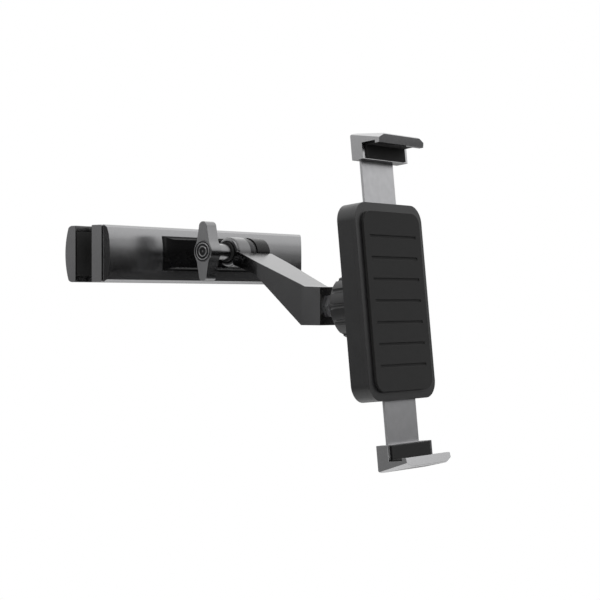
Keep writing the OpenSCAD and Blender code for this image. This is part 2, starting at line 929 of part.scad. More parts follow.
module arm() {
    color("gray") difference() {
        union() {
            intersection() {
                slab_x(-lug_outer, lug_outer) translate([hinge_y, hinge_z]) arm_side();
                slab_z(ball_z - 2 * block_half_h, hinge_z + lug_r) arm_plan();
            }
            arm_lug();
        }
        rod_x(-stack_half, lug_outer + over, arm_clear_r, hinge_y, hinge_z);
        rod_x(-lug_outer - over, lug_outer + over, bolt_r + turn_gap, hinge_y, hinge_z);
        for (turn = [0, 1]) mirror([turn, 0, 0]) {
            slab_x(arm_wall / 2, arm_end_half_w - arm_wall) {
                translate([hinge_y, hinge_z]) arm_pocket_side();
            }
        }
        rod_y(arm_end - over, arm_end + stud_thread + over, neck_r + screw_gap, z = ball_z);
    }
}

module ball_stud() {
    color("silver") {
        translate([0, ball_y, ball_z]) sphere(ball_r, $fn = fine_fn);
        rod_y(ball_y, arm_end + stud_thread, neck_r, z = ball_z);
        rod_y(arm_end - stud_flange_t, arm_end, stud_flange_r, z = ball_z, sides = 6);
    }
}

module ball_seat() {
    seat_r = ball_r + turn_gap + seat_t;
    color("ivory") in_cradle() turned_y() difference() {
        intersection() {
            circle(seat_r, $fn = fine_fn);
            translate([0, -seat_r]) square([seat_r, seat_r + socket_mouth]);
        }
        circle(ball_r + turn_gap, $fn = fine_fn);
    }
}

module ball_socket() {
    hollow_r = ball_r + seat_t + 2 * turn_gap;
    flange_rear = rear_face + slide_gap + socket_flange_t;
    color([0.16, 0.16, 0.17]) in_cradle() difference() {
        union() {
            rod_y(flange_rear - over, socket_mouth, socket_r);
            rod_y(rear_face + slide_gap, flange_rear, socket_flange_r);
            rod_y(washer_rear, rear_face + slide_gap + over, pivot_r);
        }
        sphere(hollow_r, $fn = fine_fn);
        for (turn = [0, 90]) {
            rotate([0, turn + 45, 0]) {
                box_from(
                    [-socket_r - over, -slit_depth, -slit_w / 2],
                    [socket_r + over, socket_mouth + over, slit_w / 2]
                );
            }
        }
        rod_y(washer_rear - over, washer_rear + pivot_screw_reach + blind_room, pivot_screw_r + screw_gap);
    }
}

module collar_nut() {
    foot_gap = 1;
    mouth_gap = 0.2;
    chamfer_h = 1;
    chamfer_w = 1.2;
    flute_r = 1.8;
    flute_out = 0.6;
    flute_x = collar_r + flute_out;
    collar_low = rear_face + slide_gap + socket_flange_t + foot_gap;
    lip_low = socket_mouth + mouth_gap;
    color("black") in_cradle() difference() {
        union() {
            rod_y(collar_low, lip_low + collar_lip - chamfer_h, collar_r);
            rod_y(collar_low, lip_low + collar_lip, collar_r - chamfer_w);
        }
        rod_y(collar_low - over, lip_low, socket_r + turn_gap);
        rod_y(lip_low - over, lip_low + collar_lip + over, lip_mouth_r);
        for (i = [0:collar_flutes - 1]) {
            rotate([0, i * 360 / collar_flutes, 0]) {
                rod_y(collar_low - over, lip_low + collar_lip + over, flute_r, x = flute_x, sides = 32);
            }
        }
    }
}

module pivot_washer() {
    color("silver") in_cradle() difference() {
        rod_y(washer_front, washer_rear, pivot_washer_r);
        rod_y(washer_front - over, washer_rear + over, pivot_screw_r + screw_gap);
    }
}

module pivot_screw() {
    socket_depth = 1;
    socket_across_r = 1.5;
    shank_in = 0.5;
    color("silver") in_cradle() difference() {
        union() {
            rod_y(head_front, washer_front, pivot_head_r);
            rod_y(washer_front - shank_in, washer_rear + pivot_screw_reach, pivot_screw_r);
        }
        rod_y(head_front - over, head_front + socket_depth, socket_across_r, sides = 6);
    }
}

module at_cradle_screws() {
    for (sx = [-1, 1], sz = [-1, 1]) translate([sx * screw_x, 0, sz * screw_z]) children();
}

module rail_slot() {
    half = rail_w / 2 + slide_gap;
    box_from(
        [-half, plate_rear - over, -cradle_h / 2 - over],
        [half, rail_rear + slide_gap, cradle_h / 2 + over]
    );
}

// Room for the ear that ties a spring to the upper rail
module ear_room() {
    room_below = 2;
    room_above = 1;
    box_from(
        [-cradle_w / 2 + cradle_wall, plate_rear - over, ear_z - grip_in - room_below],
        [0, rail_rear + slide_gap, ear_z + ear_h + grip_out + room_above]
    );
}

module cradle_rear() {
    inner_w = cradle_w - 2 * cradle_wall;
    inner_h = cradle_h - 2 * cradle_wall;
    half = rail_w / 2 + slide_gap;
    rib_end = inner_h / 2 + overlap;
    rib_back = rear_inner + overlap;
    rib_start = pivot_washer_r + rib_clear;
    color([0.2, 0.2, 0.21]) in_cradle() difference() {
        union() {
            difference() {
                slab_y(plate_rear, rear_face) rounded_plate(cradle_w, cradle_h, cradle_corner_r);
                slab_y(plate_rear - over, rear_inner) {
                    rounded_plate(inner_w, inner_h, cradle_corner_r - cradle_wall);
                }
            }
            for (side = [-1, 1]) {
                box_from(
                    [side > 0 ? half : -half - cradle_wall, plate_rear, -rib_end],
                    [side > 0 ? half + cradle_wall : -half, rib_back, rib_end]
                );
                box_from(
                    [side > 0 ? rib_start : -half, rail_rear + slide_gap, -rib_end],
                    [side > 0 ? half : -rib_start, rib_back, rib_end]
                );
                translate([side * spring_x, 0, -side * spring_low]) {
                    rod_y(spring_y - spring_r, rib_back, spring_pin_r);
                }
            }
            at_cradle_screws() rod_y(plate_rear, rib_back, screw_boss_r);
        }
        rail_slot();
        ear_room();
        half_turn_y() ear_room();
        rod_y(rear_inner - over, rear_face + over, pivot_r + turn_gap);
        at_cradle_screws() {
            rod_y(plate_rear - over, rear_face + over, screw_r + screw_gap);
            rod_y(rear_face - screw_head_h, rear_face + over, screw_head_r + screw_gap);
        }
    }
}

module cradle_front() {
    color([0.24, 0.24, 0.25]) in_cradle() difference() {
        union() {
            slab_y(plate_front, plate_rear) rounded_plate(cradle_w, cradle_h, cradle_corner_r);
            rod_y(plate_rear - over, rail_rear + slide_gap, pinion_pin_r);
        }
        at_cradle_screws() rod_y(plate_rear - plate_hole_depth, plate_rear + over, screw_r + screw_gap);
    }
}

module grip_pad() {
    half = cradle_w / 2 - 2 * pad_margin;
    color("black") in_cradle() difference() {
        slab_y(pad_front, plate_front) {
            rounded_plate(cradle_w - 2 * pad_margin, cradle_h - 2 * pad_margin, pad_corner_r);
        }
        for (i = [-3:3]) {
            box_from(
                [-half, pad_front - over, i * pad_pitch - pad_groove_w / 2],
                [half, pad_front + pad_groove, i * pad_pitch + pad_groove_w / 2]
            );
        }
    }
}

module cradle_screws() {
    color("silver") in_cradle() at_cradle_screws() {
        rod_y(plate_rear - plate_screw_reach, rear_face - screw_head_h + key_floor / 2, screw_r);
        difference() {
            rod_y(rear_face - screw_head_h, rear_face - screw_head_sunk, screw_head_r);
            rod_y(rear_face - screw_head_h + key_floor, rear_face + over, key_r, sides = 6);
        }
    }
}

module cradle_pinion() {
    color("ivory") in_cradle() difference() {
        slab_y(rail_front, rail_rear) pinion_outline();
        rod_y(rail_front - over, rail_rear + over, pinion_pin_r + turn_gap);
    }
}

// Flat rail with a window whose left side is a rack, drawn upright
module rail_outline() {
    difference() {
        translate([-rail_w / 2, rail_low]) square([rail_w, rail_high - rail_low]);
        translate([-pitch_r - dedendum, window_low]) {
            square([2 * pitch_r + dedendum + addendum + window_side, window_high - window_low]);
        }
        for (side = [-1, 1]) {
            translate([side * hook_screw_x, hook_screw_z]) circle(hook_screw_r + screw_gap);
        }
    }
    translate([-pitch_r, 0]) rotate(90) rack_teeth(window_low + teeth_inset, window_high - teeth_inset);
    translate([-spring_x - ear_past, ear_z]) square([spring_x + ear_past - rail_w / 2 + overlap, ear_h]);
}

module upper_rail() {
    color("silver") in_cradle() slab_y(rail_rear - rail_t, rail_rear) rail_outline();
}

module lower_rail() {
    color("silver") in_cradle() half_turn_y() slab_y(rail_two - rail_t, rail_two) rail_outline();
}

// Side view of the upper jaw, drawn as depth and height
module hook_side() {
    polygon([
        [hook_back, hook_low],
        [hook_front_wall, hook_low],
        [hook_front_wall, hook_seat],
        [lip_back, hook_seat],
        [lip_back, half_grip - lip_over],
        [lip_front + lip_taper, half_grip - lip_over],
        [lip_front, lip_top - lip_edge],
        [lip_front + lip_edge, lip_top],
        [hook_back - 3 * hook_edge, hook_top],
        [hook_back - hook_edge, hook_top],
        [hook_back, hook_top - hook_edge]
    ]);
}

// Material taken off one outer corner, rising towards the back of the jaw
module corner_cut() {
    slope = corner_cut_h / corner_cut_w;
    translate([-hook_w / 2, lip_front, lip_top - corner_cut_h]) rotate([corner_cut_rise, 0, 0]) {
        slab_y(-2 * over, hook_back - lip_front + 2 * over) polygon([
            [-over, -over * slope],
            [hook_w / 2, hook_w / 2 * slope],
            [-over, hook_w / 2 * slope]
        ]);
    }
}

module hook(rail_y) {
    half = rail_w / 2 + screw_gap;
    difference() {
        slab_x(-hook_w / 2, hook_w / 2) hook_side();
        for (turn = [0, 1]) mirror([turn, 0, 0]) corner_cut();
        box_from(
            [-half, rail_y - rail_t - screw_gap, hook_low - over],
            [half, hook_back + over, rail_high + screw_gap]
        );
        for (side = [-1, 1]) {
            translate([side * hook_screw_x, 0, hook_screw_z]) {
                rod_y(
                    rail_y - rail_t - hook_screw_reach - blind_room, hook_back,
                    hook_screw_r + screw_gap
                );
            }
        }
    }
}

module hook_pad() {
    half = hook_w / 2 - hook_pad_inset;
    slab_x(-half, half) polygon([
        [hook_front_wall, hook_low + hook_pad_low],
        [device_back, hook_low + hook_pad_low],
        [device_back, half_grip],
        [lip_back + overlap, half_grip],
        [lip_back + overlap, hook_seat],
        [hook_front_wall, hook_seat]
    ]);
}

module hook_screws(rail_y) {
    for (side = [-1, 1]) {
        translate([side * hook_screw_x, 0, hook_screw_z]) {
            rod_y(rail_y - rail_t - hook_screw_reach, rail_y + hook_head_t / 2, hook_screw_r);
            rod_y(rail_y, rail_y + hook_head_t, hook_screw_head);
        }
    }
}

module upper_hook() {
    color("gray") in_cradle() hook(rail_rear);
}

module upper_hook_pad() {
    color("black") in_cradle() hook_pad();
}

module upper_hook_screws() {
    color("silver") in_cradle() hook_screws(rail_rear);
}

module lower_hook() {
    color("gray") in_cradle() half_turn_y() hook(rail_two);
}

module lower_hook_pad() {
    color("black") in_cradle() half_turn_y() hook_pad();
}

module lower_hook_screws() {
    color("silver") in_cradle() half_turn_y() hook_screws(rail_two);
}

// Closed coil that pulls the upper rail down
module spring() {
    difference() {
        translate([-spring_x, spring_y, spring_low + spring_pin_r + spring_gap]) {
            cylinder(h = ear_z - spring_low - spring_pin_r - 2 * spring_gap, r = spring_r);
        }
        translate([-spring_x, spring_y, spring_low]) {
            cylinder(h = ear_z - spring_low + over, r = spring_r - spring_wire);
        }
    }
}

module left_spring() {
    color("silver") in_cradle() spring();
}

module right_spring() {
    color("silver") in_cradle() half_turn_y() spring();
}

front_cover();
rear_housing();
bar_screws();
bar_pinion();
left_post_jaw();
left_post_liner();
right_post_jaw();
right_post_liner();
lock_knob();
lock_screw();
lock_nut();
hinge_base();
base_screws();
hinge_bolt();
friction_disc();
hinge_ring();
knob_washer();
wing_knob();
knob_insert();
knob_cap();
arm();
ball_stud();
ball_seat();
ball_socket();
collar_nut();
pivot_washer();
pivot_screw();
cradle_rear();
cradle_front();
grip_pad();
cradle_screws();
cradle_pinion();
left_spring();
right_spring();
upper_rail();
upper_hook();
upper_hook_pad();
upper_hook_screws();
lower_rail();
lower_hook();
lower_hook_pad();
lower_hook_screws();
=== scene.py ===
import json
import math

import bpy
from mathutils import Matrix, Vector


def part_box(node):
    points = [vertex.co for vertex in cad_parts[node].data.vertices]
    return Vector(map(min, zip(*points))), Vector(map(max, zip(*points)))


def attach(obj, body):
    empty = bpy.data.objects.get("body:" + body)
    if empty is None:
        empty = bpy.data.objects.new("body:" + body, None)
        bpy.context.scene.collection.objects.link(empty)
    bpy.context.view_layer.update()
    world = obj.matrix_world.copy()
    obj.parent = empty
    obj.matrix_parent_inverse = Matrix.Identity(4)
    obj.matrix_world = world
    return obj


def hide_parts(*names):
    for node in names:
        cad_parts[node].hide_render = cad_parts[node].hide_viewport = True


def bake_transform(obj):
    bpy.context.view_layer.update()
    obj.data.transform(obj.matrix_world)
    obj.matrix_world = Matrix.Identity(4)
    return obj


bl_info = {
    "name": "Headrest tablet holder",
    "version": (1, 0, 0),
    "blender": (4, 5, 0),
    "location": "3D View > Sidebar > Holder",
    "description": "Dresses the packed holder and sets its stage",
    "category": "Object",
}

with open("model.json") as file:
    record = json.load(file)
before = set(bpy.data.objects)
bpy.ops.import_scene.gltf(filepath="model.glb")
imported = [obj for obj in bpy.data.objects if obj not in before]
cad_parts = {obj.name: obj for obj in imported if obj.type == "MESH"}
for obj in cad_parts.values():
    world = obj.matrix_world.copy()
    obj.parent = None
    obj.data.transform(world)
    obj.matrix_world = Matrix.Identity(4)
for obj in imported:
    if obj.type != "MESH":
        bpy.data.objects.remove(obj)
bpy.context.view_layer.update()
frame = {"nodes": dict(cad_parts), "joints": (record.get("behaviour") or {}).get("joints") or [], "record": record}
NODES = frame["nodes"]
BODY_OF = {node: body for body, nodes in frame["record"]["behaviour"]["bodies"].items() for node in nodes}
SLOT_OF = {part["node"]: part["material_slot"] for part in frame["record"]["subparts"]}
JOINTS = {joint["name"]: joint for joint in frame["joints"]}

# Centre of the ball and the directions of the leaning cradle
BALL = Vector(JOINTS["cradle_turn"]["pos_m"])
CRADLE_Y = Vector(JOINTS["cradle_turn"]["axis"])
CRADLE_Z = Vector(JOINTS["upper_jaw_slide"]["axis"])
CRADLE_X = Vector((1, 0, 0))
CRADLE = Matrix((CRADLE_X, CRADLE_Y, CRADLE_Z)).transposed().to_4x4()

# The camera of the photograph
CAMERA_PLACE = (-0.7047, -0.65206, -0.02676)
CAMERA_AZIMUTH = math.radians(-51.3)
CAMERA_LENS = 92.28
SENSOR = 36

# The floor: its place, the share of its radius where it starts to fade, and its glow inside that
FLOOR_HEIGHT = -0.45
FLOOR_RADIUS = 0.6
FLOOR_SIDES = 96
FLOOR_FADE = 0.5
FLOOR_GLOW = 0.75
FLOOR_COLOUR = (0.85, 0.85, 0.85, 1)
WHITE = (1, 1, 1, 1)
BLACK = (0, 0, 0, 1)

# The lamp over the camera's side
KEY_PLACE = (-0.9, -0.6, 1.9)
KEY_SIZE = 1.2
KEY_POWER = 4

# The room: its brightness by elevation in degrees, ahead of the bar, behind it and round the camera
ROOM_PEAK = 1.7
ROOM_FRONT = (
    (-90, 0.12), (-22, 0.12), (-10, 0.05), (0, 0.03), (2, 0.12), (5, 0.65), (8, 1.05), (13, 1.3), (27, 1.6),
    (50, 1.5), (90, 1.35),
)
ROOM_BACK = ((-90, 0.3), (-30, 0.5), (-5, 0.7), (10, 0.85), (27, 1.4), (50, 1.5), (90, 1.35))
ROOM_CAMERA = ((-90, 0.1), (-10, 0.03), (5, 0.04), (14, 0.25), (27, 1.2), (50, 1.5), (90, 1.35))
ROOM_BEHIND = (-0.1, 1.35)
CAMERA_SIDE = (-0.78, -0.625, 0)
CAMERA_SIDE_SPAN = (0.3, 0.85)

# Angles in degrees: what counts as flat, what a bevel rounds and what shading smooths
FLAT_ANGLE = 0.4
BEVEL_ANGLE = 24
SMOOTH_ANGLE = 34
WIRE_SMOOTH_ANGLE = 60
WELD_DISTANCE = 0.000001

# The spring's wire: sides of its section, steps a turn, sides of an eye, and the eye's radius by the coil's
WIRE_SIDES = 10
TURN_STEPS = 20
EYE_SIDES = 24
EYE_SHARE = 0.75

# A face of the knob that looks along the hinge, and the turned rings of its cap by share of the radius
OUTER_FACE = -0.95
CAP_RINGS = ((0.0, 0.1), (0.4, 0.51), (0.72, 0.83), (0.96, 1.0))
RING_EDGE = 0.01


class HolderSizes(bpy.types.PropertyGroup):
    """Sizes of the finish that a user may change"""

    soft_edge: bpy.props.FloatProperty(
        name="Moulded edge", description="Rounding of the moulded edges", default=0.0004, unit="LENGTH"
    )
    fine_edge: bpy.props.FloatProperty(
        name="Fine edge", description="Rounding of small and machined edges", default=0.00015, unit="LENGTH"
    )
    shell_edge: bpy.props.FloatProperty(
        name="Shell edge", description="Rounding of the bar's shells and the grip pad", default=0.0003,
        unit="LENGTH",
    )
    wire_radius: bpy.props.FloatProperty(
        name="Spring wire", description="Radius of the spring wire", default=0.0004, unit="LENGTH"
    )
    spring_turns: bpy.props.IntProperty(name="Spring turns", description="Turns of each spring", default=28)
    grain: bpy.props.FloatProperty(
        name="Grain", description="Size of the moulded grain", default=0.0005, unit="LENGTH"
    )


class HolderColours(bpy.types.PropertyGroup):
    """Colours of the finishes"""

    bar_grey: bpy.props.FloatVectorProperty(
        name="Bar", description="Satin grey of the bar, the knob and the arm", subtype="COLOR", size=4,
        default=(0.26, 0.26, 0.264, 1),
    )
    jaw_grey: bpy.props.FloatVectorProperty(
        name="Gripping jaws", description="Satin grey of the gripping jaws", subtype="COLOR", size=4,
        default=(0.36, 0.36, 0.365, 1),
    )
    black: bpy.props.FloatVectorProperty(
        name="Black plastic", description="Black of the base, the collar and the cradle",
        subtype="COLOR", size=4, default=(0.011, 0.011, 0.0115, 1),
    )
    rubber: bpy.props.FloatVectorProperty(
        name="Rubber", description="Black of the liners and pads", subtype="COLOR", size=4,
        default=(0.012, 0.012, 0.012, 1),
    )
    steel: bpy.props.FloatVectorProperty(
        name="Steel", description="Colour of the steel", subtype="COLOR", size=4,
        default=(0.42, 0.42, 0.43, 1),
    )
    brass: bpy.props.FloatVectorProperty(
        name="Brass", description="Colour of the brass", subtype="COLOR", size=4,
        default=(0.72, 0.54, 0.26, 1),
    )
    nylon: bpy.props.FloatVectorProperty(
        name="Gear nylon", description="Colour of the gears and the seat", subtype="COLOR", size=4,
        default=(0.7, 0.67, 0.58, 1),
    )


class Maths:
    """A socket that takes part in sums written as Python expressions"""

    def __init__(self, paint, socket):
        self.paint = paint
        self.socket = socket

    def _sum(self, operation, first, second):
        return self.paint.node("ShaderNodeMath", {"operation": operation}, {0: first, 1: second})

    def __add__(self, other):
        return self._sum("ADD", self, other)

    def __sub__(self, other):
        return self._sum("SUBTRACT", self, other)

    def __mul__(self, other):
        return self._sum("MULTIPLY", self, other)

    __radd__ = __add__


class Paint:
    """One material or world and the nodes that feed its shader"""

    def __init__(self, name, store="materials", shader="Principled BSDF"):
        self.block = getattr(bpy.data, store).new(name)
        self.block.use_nodes = True
        self.tree = self.block.node_tree
        self.shader = self.tree.nodes[shader]

    def node(self, kind, settings=None, inputs=None, output=0):
        """Adds a node, sets it, feeds it and gives its output"""
        new = self.tree.nodes.new(kind)
        for name, value in (settings or {}).items():
            if name == "stops":
                for place, (position, colour) in zip((0, -1), (value[0], value[-1])):
                    new.color_ramp.elements[place].position = position
                    new.color_ramp.elements[place].color = colour
                for position, colour in value[1:-1]:
                    new.color_ramp.elements.new(position).color = colour
            else:
                setattr(new, name, value)
        for name, value in (inputs or {}).items():
            self.feed(new.inputs[name], value)
        return Maths(self, new.outputs[output])

    def feed(self, socket, value):
        """Links a value that varies, or sets one that doesn't"""
        if isinstance(value, Maths):
            self.tree.links.new(value.socket, socket)
        else:
            socket.default_value = value

    def set(self, **inputs):
        """Feeds the shader's own inputs, named with _ for each space"""
        for name, value in inputs.items():
            self.feed(self.shader.inputs[name.replace("_", " ")], value)

    def place(self):
        """Object coordinates, in metres"""
        return self.node("ShaderNodeTexCoord", output=3)

    def noise(self, size, detail=3, roughness=0.5, stretch=(1, 1, 1)):
        """Noise whose features are about size metres across"""
        place = self.node("ShaderNodeMapping", None, {"Vector": self.place(), "Scale": stretch})
        return self.node(
            "ShaderNodeTexNoise", None,
            {"Vector": place, "Scale": 1 / size, "Detail": detail, "Roughness": roughness},
        )

    def cells(self, size):
        """Cells about size metres across"""
        return self.node("ShaderNodeTexVoronoi", None, {"Vector": self.place(), "Scale": 1 / size})

    def shades(self, factor, dark, light):
        """A colour between two, by a factor from 0 to 1"""
        return self.node(
            "ShaderNodeMix", {"data_type": "RGBA"}, {"Factor": factor, 6: dark, 7: light}, output=2
        )

    def bumps(self, height, depth, strength):
        """Small relief of that height map, up to depth metres"""
        self.set(Normal=self.node(
            "ShaderNodeBump", None, {"Height": height, "Distance": depth, "Strength": strength}
        ))


def tinted(colour, factor):
    """A darker or lighter tone of a colour"""
    return tuple(c * factor for c in colour[:3]) + (1,)


def satin_paint(name, colour, roughness):
    """Satin metallic lacquer with a faint flow texture and a little handling wear"""
    paint = Paint(name)
    flow = paint.noise(size=0.004, detail=2)
    flake = paint.cells(size=0.00035)
    haze = paint.noise(size=0.018, detail=4, roughness=0.6)
    rub = paint.noise(size=0.0025, detail=5, roughness=0.75)
    paint.set(
        Base_Color=paint.shades(flake * 0.75 + haze * 0.4, tinted(colour, 0.84), tinted(colour, 1.16)),
        Metallic=1.0,
        Roughness=roughness + (haze - 0.5) * 0.08 + (rub - 0.5) * 0.1,
    )
    paint.bumps(flow * 0.6 + flake * 0.2, depth=0.00003, strength=0.35)
    return paint.block


def bar_grey(colours):
    """Lacquer of the bar"""
    return satin_paint("bar_grey", colours.bar_grey, roughness=0.22)


def shade_painted_grey(colours):
    """The bar's lacquer darkened as painted shade, on the post jaws and the knob"""
    return satin_paint("shade_painted_grey", tinted(colours.bar_grey, 0.7), roughness=0.22)


def deep_shade_painted_grey(colours):
    """The bar's lacquer darkened furthest, as painted shade on the arm"""
    return satin_paint("deep_shade_painted_grey", tinted(colours.bar_grey, 0.48), roughness=0.2)


def jaw_grey(colours):
    """Brighter lacquer of the gripping jaws"""
    return satin_paint("jaw_grey", colours.jaw_grey, roughness=0.18)


def etched_face(colours):
    """Finely blasted flat face of the wing knob, duller than its lacquered edges"""
    paint = Paint("etched_face")
    grit = paint.noise(size=0.00025, detail=3, roughness=0.7)
    haze = paint.noise(size=0.009, detail=4, roughness=0.6)
    paint.set(
        Base_Color=paint.shades(
            grit * 0.5 + haze * 0.5, tinted(colours.bar_grey, 0.62), tinted(colours.bar_grey, 0.78)
        ),
        Metallic=0.15,
        Roughness=0.5 + haze * 0.12,
        Specular_IOR_Level=0.25,
    )
    paint.bumps(grit, depth=0.00002, strength=0.4)
    return paint.block


def moulded_black(name, colour, roughness, specular, grain_strength):
    """Black moulded nylon with a fine eroded grain, polished where hands rub it"""
    paint = Paint(name)
    grain = paint.cells(bpy.context.scene.holder_sizes.grain)
    haze = paint.noise(size=0.012, detail=4, roughness=0.6)
    paint.set(
        Base_Color=paint.shades(haze, tinted(colour, 0.8), tinted(colour, 1.4)),
        Roughness=roughness + haze * 0.14,
        Specular_IOR_Level=specular,
    )
    paint.bumps(grain, depth=0.00003, strength=grain_strength)
    return paint.block


def black_plastic(colours):
    """Grained black plastic"""
    return moulded_black("black_plastic", colours.black, roughness=0.32, specular=0.45, grain_strength=0.7)


def black_gloss(colours):
    """Nearly smooth and darker black plastic of the base"""
    return moulded_black(
        "black_gloss", tinted(colours.black, 0.3), roughness=0.2, specular=0.15, grain_strength=0.12
    )


def ringed_cap(colours):
    """Dark face of the knob's cap with two bright turned rings"""
    low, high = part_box("knob_cap")
    centre = (low + high) / 2
    reach = (high.z - low.z) / 2
    paint = Paint("ringed_cap")
    spoke = paint.node(
        "ShaderNodeVectorMath", {"operation": "MULTIPLY_ADD"},
        {0: paint.place(), 1: (0, 1, 1), 2: (0, -centre.y, -centre.z)},
    )
    radius = paint.node("ShaderNodeVectorMath", {"operation": "LENGTH"}, {0: spoke}, output=1) * (1 / reach)
    stops = []
    for start, end in CAP_RINGS:
        stops += [(start, BLACK), (start + RING_EDGE, WHITE), (end - RING_EDGE, WHITE), (end, BLACK)]
    ring = paint.node("ShaderNodeValToRGB", {"stops": stops[:-2] + stops[-1:]}, {"Fac": radius})
    haze = paint.noise(size=0.003, detail=3)
    paint.set(
        Base_Color=paint.shades(ring, tinted(colours.bar_grey, 0.3), tinted(colours.bar_grey, 1.5)),
        Metallic=0.9,
        Roughness=0.22 + haze * 0.14,
    )
    paint.bumps(haze, depth=0.00002, strength=0.3)
    return paint.block


def rubber(colours):
    """Matt rubber with a dusty bloom"""
    paint = Paint("rubber")
    bloom = paint.noise(size=0.006, detail=5, roughness=0.7)
    pores = paint.noise(size=0.0004, detail=2)
    paint.set(
        Base_Color=paint.shades(bloom, colours.rubber, tinted(colours.rubber, 2.2)),
        Roughness=0.72 + bloom * 0.2,
        Specular_IOR_Level=0.3,
    )
    paint.bumps(pores, depth=0.00005, strength=0.5)
    return paint.block


def brushed_steel(colours):
    """Zinc-plated steel with fine drawing lines"""
    paint = Paint("brushed_steel")
    lines = paint.noise(size=0.0006, detail=3, roughness=0.6, stretch=(1, 1, 0.05))
    haze = paint.noise(size=0.005, detail=3)
    paint.set(
        Base_Color=paint.shades(haze, tinted(colours.steel, 0.85), tinted(colours.steel, 1.1)),
        Metallic=1.0,
        Roughness=0.24 + lines * 0.2,
    )
    paint.bumps(lines, depth=0.00002, strength=0.4)
    return paint.block


def blackened_steel(colours):
    """Steel with a black oxide finish, rubbed a little brighter in places"""
    paint = Paint("blackened_steel")
    rub = paint.noise(size=0.0015, detail=4, roughness=0.65)
    grit = paint.noise(size=0.0003, detail=2)
    paint.set(
        Base_Color=paint.shades(rub, tinted(colours.steel, 0.05), tinted(colours.steel, 0.13)),
        Metallic=1.0,
        Roughness=0.26 + rub * 0.16,
    )
    paint.bumps(grit, depth=0.00002, strength=0.3)
    return paint.block


def turned_brass(colours):
    """Brass with the rings that a lathe leaves"""
    paint = Paint("turned_brass")
    rings = paint.noise(size=0.0005, detail=2, stretch=(1, 0.1, 0.1))
    haze = paint.noise(size=0.004, detail=3)
    paint.set(
        Base_Color=paint.shades(haze, tinted(colours.brass, 0.8), colours.brass),
        Metallic=1.0,
        Roughness=0.22 + rings * 0.2,
    )
    paint.bumps(rings, depth=0.00002, strength=0.4)
    return paint.block


def gear_nylon(colours):
    """Undyed nylon with a waxy sheen"""
    paint = Paint("gear_nylon")
    haze = paint.noise(size=0.003, detail=4, roughness=0.6)
    grain = paint.noise(size=0.0004, detail=2)
    paint.set(
        Base_Color=paint.shades(haze, tinted(colours.nylon, 0.85), colours.nylon),
        Roughness=0.38 + haze * 0.14,
    )
    paint.bumps(grain, depth=0.00002, strength=0.3)
    return paint.block


# What makes each finish, by a slot's name or by the name of a variant
MAKERS = {
    "bar_grey": bar_grey,
    # The next tone is the bar's lacquer darkened as painted shade
    "shade_painted_grey": shade_painted_grey,
    # The next tone is the bar's lacquer darkened furthest, as painted shade
    "deep_shade_painted_grey": deep_shade_painted_grey,
    "etched_face": etched_face,
    "ringed_cap": ringed_cap,
    "jaw_grey": jaw_grey,
    "black_nylon": black_plastic,
    "black_gloss": black_gloss,
    "rubber": rubber,
    "steel": brushed_steel,
    "blackened_steel": blackened_steel,
    "brass": turned_brass,
    "gear_nylon": gear_nylon,
}
FINISHES = {}


def finish_for(name):
    """The material of that name, made once"""
    if name not in FINISHES:
        FINISHES[name] = MAKERS[name](bpy.context.scene.holder_colours)
    return FINISHES[name]


def deselect():
    """Leaves edit mode and selects nothing"""
    if bpy.context.mode != "OBJECT":
        bpy.ops.object.mode_set(mode="OBJECT")
    bpy.ops.object.select_all(action="DESELECT")


def pick(piece):
    """Makes a piece the only selected and the active one"""
    deselect()
    piece.select_set(True)
    bpy.context.view_layer.objects.active = piece


def dress(piece, node, finish=None):
    """Gives a piece or a CAD node the finish of the node's slot, or its own variant of it"""
    piece.data.materials.clear()
    piece.data.materials.append(finish_for(finish or SLOT_OF[node]))
    return piece


def stand_for(piece, node):
    """The piece takes the place of a CAD node"""
    dress(piece, node)
    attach(piece, BODY_OF[node])
    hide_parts(node)
    return piece


def smooth(piece, angle=SMOOTH_ANGLE):
    """Smooth shading, but for edges sharper than the angle"""
    pick(piece)
    bpy.ops.object.shade_smooth_by_angle(angle=math.radians(angle))


def put_on_mesh(piece):
    """Moves a piece's place into its mesh"""
    pick(piece)
    bpy.ops.object.transform_apply(location=True, rotation=True, scale=True)


def apply(piece, kind, **settings):
    """Adds a modifier with those settings and applies it"""
    pick(piece)
    modifier = piece.modifiers.new(kind.title(), kind)
    for name, value in settings.items():
        setattr(modifier, name, value)
    bpy.ops.object.modifier_apply(modifier=modifier.name)


def softened(node, width, segments=2):
    """A copy of a CAD node with rounded edges, which takes the node's place"""
    piece = bpy.data.objects.new(node + "_soft", NODES[node].data.copy())
    bpy.context.scene.collection.objects.link(piece)
    pick(piece)
    bpy.ops.object.mode_set(mode="EDIT")
    bpy.ops.mesh.select_all(action="SELECT")
    bpy.ops.mesh.remove_doubles(threshold=WELD_DISTANCE)
    bpy.ops.mesh.dissolve_limited(angle_limit=math.radians(FLAT_ANGLE))
    bpy.ops.object.mode_set(mode="OBJECT")
    apply(
        piece, "BEVEL", width=width, segments=segments, limit_method="ANGLE",
        angle_limit=math.radians(BEVEL_ANGLE), use_clamp_overlap=True, loop_slide=True,
    )
    smooth(piece)
    apply(piece, "WEIGHTED_NORMAL", keep_sharp=True)
    return stand_for(piece, node)


